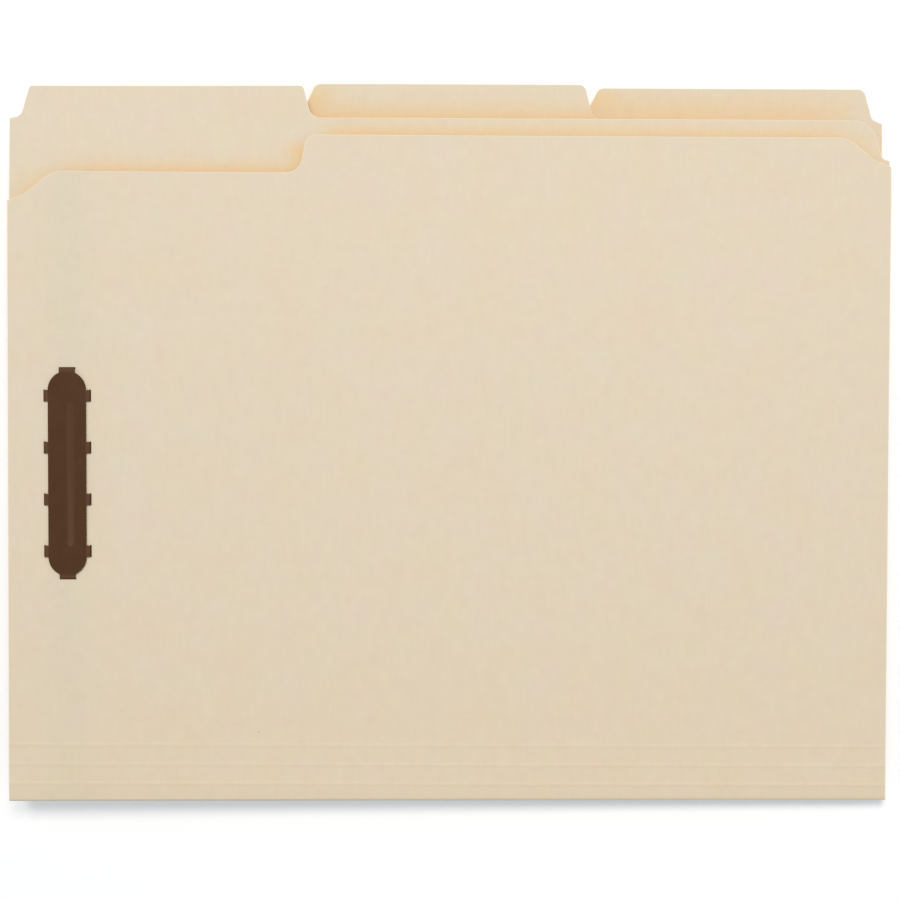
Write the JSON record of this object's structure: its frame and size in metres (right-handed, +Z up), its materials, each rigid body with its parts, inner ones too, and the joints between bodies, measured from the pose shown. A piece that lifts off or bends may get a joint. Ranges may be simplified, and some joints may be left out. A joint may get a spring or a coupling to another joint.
{
  "type": "fastener folder set",
  "caption": "Set of manila top-tab file folders, lying one on another with staggered tabs. Each opens at a rounded fold and holds punched paper on brown steel prong fasteners.",
  "frame": {"origin": "centre of the set's box in X and Y, on the surface that the set lies on", "axes": "+X to the right along the folds, +Y from the folds to the tabs, +Z up out of the covers"},
  "size_m": [0.299, 0.2446, 0.0166],
  "materials": {
    "manila_stock": "uncoated manila card, matt, with faint fibres",
    "brown_coated_steel": "thin brown lacquer over sheet steel, satin"
  },
  "bodies": {
    "rear_folder_back": {"rear_folder_back_panel": "manila_stock", "rear_folder_back_fastener_plate": "brown_coated_steel"},
    "rear_folder_spine": {"rear_folder_spine": "manila_stock"},
    "rear_folder_cover": {"rear_folder_cover": "manila_stock", "rear_folder_cover_fastener_plate": "brown_coated_steel"},
    "rear_folder_back_lower_prong": {"rear_folder_back_fastener_lower_prong": "brown_coated_steel"},
    "rear_folder_back_upper_prong": {"rear_folder_back_fastener_upper_prong": "brown_coated_steel"},
    "rear_folder_cover_lower_prong": {"rear_folder_cover_fastener_lower_prong": "brown_coated_steel"},
    "rear_folder_cover_upper_prong": {"rear_folder_cover_fastener_upper_prong": "brown_coated_steel"},
    "middle_folder_back": {"middle_folder_back_panel": "manila_stock", "middle_folder_back_fastener_plate": "brown_coated_steel"},
    "middle_folder_spine": {"middle_folder_spine": "manila_stock"},
    "middle_folder_cover": {"middle_folder_cover": "manila_stock", "middle_folder_cover_fastener_plate": "brown_coated_steel"},
    "middle_folder_back_lower_prong": {"middle_folder_back_fastener_lower_prong": "brown_coated_steel"},
    "middle_folder_back_upper_prong": {"middle_folder_back_fastener_upper_prong": "brown_coated_steel"},
    "middle_folder_cover_lower_prong": {"middle_folder_cover_fastener_lower_prong": "brown_coated_steel"},
    "middle_folder_cover_upper_prong": {"middle_folder_cover_fastener_upper_prong": "brown_coated_steel"},
    "front_folder_back": {"front_folder_back_panel": "manila_stock", "front_folder_back_fastener_plate": "brown_coated_steel"},
    "front_folder_spine": {"front_folder_spine": "manila_stock"},
    "front_folder_cover": {"front_folder_cover": "manila_stock", "front_folder_cover_fastener_plate": "brown_coated_steel"},
    "front_folder_back_lower_prong": {"front_folder_back_fastener_lower_prong": "brown_coated_steel"},
    "front_folder_back_upper_prong": {"front_folder_back_fastener_upper_prong": "brown_coated_steel"},
    "front_folder_cover_lower_prong": {"front_folder_cover_fastener_lower_prong": "brown_coated_steel"},
    "front_folder_cover_upper_prong": {"front_folder_cover_fastener_upper_prong": "brown_coated_steel"}
  },
  "joints": [
    {"name": "rear_folder_lower_fold", "type": "hinge", "parent": "rear_folder_back", "child": "rear_folder_spine", "pos_m": [0.00029, -0.11906, 0.00084], "axis": [1, 0, 0], "range_deg": [0, 20]},
    {"name": "rear_folder_upper_fold", "type": "hinge", "parent": "rear_folder_spine", "child": "rear_folder_cover", "pos_m": [0.00029, -0.11906, 0.00301], "axis": [1, 0, -0.0066], "range_deg": [0, 20]},
    {"name": "rear_folder_back_lower_prong_bend", "type": "hinge", "parent": "rear_folder_back", "child": "rear_folder_back_lower_prong", "pos_m": [-0.12873, -0.04381, 0.00148], "axis": [1, 0, 0], "range_deg": [0, 20]},
    {"name": "rear_folder_back_upper_prong_bend", "type": "hinge", "parent": "rear_folder_back", "child": "rear_folder_back_upper_prong", "pos_m": [-0.12873, 0.02609, 0.00148], "axis": [-1, 0, 0], "range_deg": [0, 20]},
    {"name": "rear_folder_cover_lower_prong_bend", "type": "hinge", "parent": "rear_folder_cover", "child": "rear_folder_cover_lower_prong", "pos_m": [-0.12873, -0.04381, 0.00368], "axis": [-1, 0, 0.0066], "range_deg": [0, 20]},
    {"name": "rear_folder_cover_upper_prong_bend", "type": "hinge", "parent": "rear_folder_cover", "child": "rear_folder_cover_upper_prong", "pos_m": [-0.12873, 0.02609, 0.00411], "axis": [1, 0, -0.0066], "range_deg": [0, 20]},
    {"name": "middle_folder_lower_fold", "type": "hinge", "parent": "middle_folder_back", "child": "middle_folder_spine", "pos_m": [-0.0003, -0.11907, 0.00431], "axis": [1, 0, -0.0094], "range_deg": [0, 20]},
    {"name": "middle_folder_upper_fold", "type": "hinge", "parent": "middle_folder_spine", "child": "middle_folder_cover", "pos_m": [-0.00028, -0.11909, 0.00618], "axis": [0.9999, 0.0001, -0.014], "range_deg": [0, 20]},
    {"name": "middle_folder_back_lower_prong_bend", "type": "hinge", "parent": "middle_folder_back", "child": "middle_folder_back_lower_prong", "pos_m": [-0.12931, -0.04383, 0.00706], "axis": [1, 0, -0.0094], "range_deg": [0, 20]},
    {"name": "middle_folder_back_upper_prong_bend", "type": "hinge", "parent": "middle_folder_back", "child": "middle_folder_back_upper_prong", "pos_m": [-0.1293, 0.02606, 0.00789], "axis": [-1, 0, 0.0094], "range_deg": [0, 20]},
    {"name": "middle_folder_cover_lower_prong_bend", "type": "hinge", "parent": "middle_folder_cover", "child": "middle_folder_cover_lower_prong", "pos_m": [-0.1293, -0.04385, 0.00826], "axis": [-0.9999, -0.0001, 0.014], "range_deg": [0, 20]},
    {"name": "middle_folder_cover_upper_prong_bend", "type": "hinge", "parent": "middle_folder_cover", "child": "middle_folder_cover_upper_prong", "pos_m": [-0.12929, 0.02605, 0.00912], "axis": [0.9999, 0.0001, -0.014], "range_deg": [0, 20]},
    {"name": "front_folder_lower_fold", "type": "hinge", "parent": "front_folder_back", "child": "front_folder_spine", "pos_m": [0.00003, -0.12101, 0.00745], "axis": [0.9999, 0.0001, -0.0168], "range_deg": [0, 89]},
    {"name": "front_folder_upper_fold", "type": "hinge", "parent": "front_folder_spine", "child": "front_folder_cover", "pos_m": [0.00007, -0.12104, 0.00928], "axis": [0.9998, 0.0002, -0.0212], "range_deg": [0, 89]},
    {"name": "front_folder_back_lower_prong_bend", "type": "hinge", "parent": "front_folder_back", "child": "front_folder_back_lower_prong", "pos_m": [-0.12895, -0.04579, 0.01161], "axis": [0.9999, 0.0001, -0.0168], "range_deg": [0, 89]},
    {"name": "front_folder_back_upper_prong_bend", "type": "hinge", "parent": "front_folder_back", "child": "front_folder_back_upper_prong", "pos_m": [-0.12893, 0.0241, 0.01287], "axis": [-0.9999, -0.0001, 0.0168], "range_deg": [0, 89]},
    {"name": "front_folder_cover_lower_prong_bend", "type": "hinge", "parent": "front_folder_cover", "child": "front_folder_cover_lower_prong", "pos_m": [-0.12893, -0.04581, 0.01286], "axis": [-0.9998, -0.0002, 0.0212], "range_deg": [0, 89]},
    {"name": "front_folder_cover_upper_prong_bend", "type": "hinge", "parent": "front_folder_cover", "child": "front_folder_cover_upper_prong", "pos_m": [-0.12891, 0.02407, 0.01424], "axis": [0.9998, 0.0002, -0.0212], "range_deg": [0, 89]},
    {"name": "middle_folder_lift", "type": "slide", "parent": "rear_folder_cover", "child": "middle_folder_back", "axis": [0, 0, 1], "range_m": [0, 0.3]},
    {"name": "front_folder_lift", "type": "slide", "parent": "middle_folder_cover", "child": "front_folder_back", "axis": [0, 0, 1], "range_m": [0, 0.3]}
  ],
  "couplings": [
    {"joint": "rear_folder_lower_fold", "follows": "rear_folder_upper_fold", "ratio": 1},
    {"joint": "rear_folder_back_lower_prong_bend", "follows": "rear_folder_upper_fold", "ratio": 1},
    {"joint": "rear_folder_back_upper_prong_bend", "follows": "rear_folder_upper_fold", "ratio": 1},
    {"joint": "rear_folder_cover_lower_prong_bend", "follows": "rear_folder_upper_fold", "ratio": 1},
    {"joint": "rear_folder_cover_upper_prong_bend", "follows": "rear_folder_upper_fold", "ratio": 1},
    {"joint": "middle_folder_lower_fold", "follows": "middle_folder_upper_fold", "ratio": 1},
    {"joint": "middle_folder_back_lower_prong_bend", "follows": "middle_folder_upper_fold", "ratio": 1},
    {"joint": "middle_folder_back_upper_prong_bend", "follows": "middle_folder_upper_fold", "ratio": 1},
    {"joint": "middle_folder_cover_lower_prong_bend", "follows": "middle_folder_upper_fold", "ratio": 1},
    {"joint": "middle_folder_cover_upper_prong_bend", "follows": "middle_folder_upper_fold", "ratio": 1},
    {"joint": "front_folder_lower_fold", "follows": "front_folder_upper_fold", "ratio": 1},
    {"joint": "front_folder_back_lower_prong_bend", "follows": "front_folder_upper_fold", "ratio": 1},
    {"joint": "front_folder_back_upper_prong_bend", "follows": "front_folder_upper_fold", "ratio": 1},
    {"joint": "front_folder_cover_lower_prong_bend", "follows": "front_folder_upper_fold", "ratio": 1},
    {"joint": "front_folder_cover_upper_prong_bend", "follows": "front_folder_upper_fold", "ratio": 1}
  ]
}
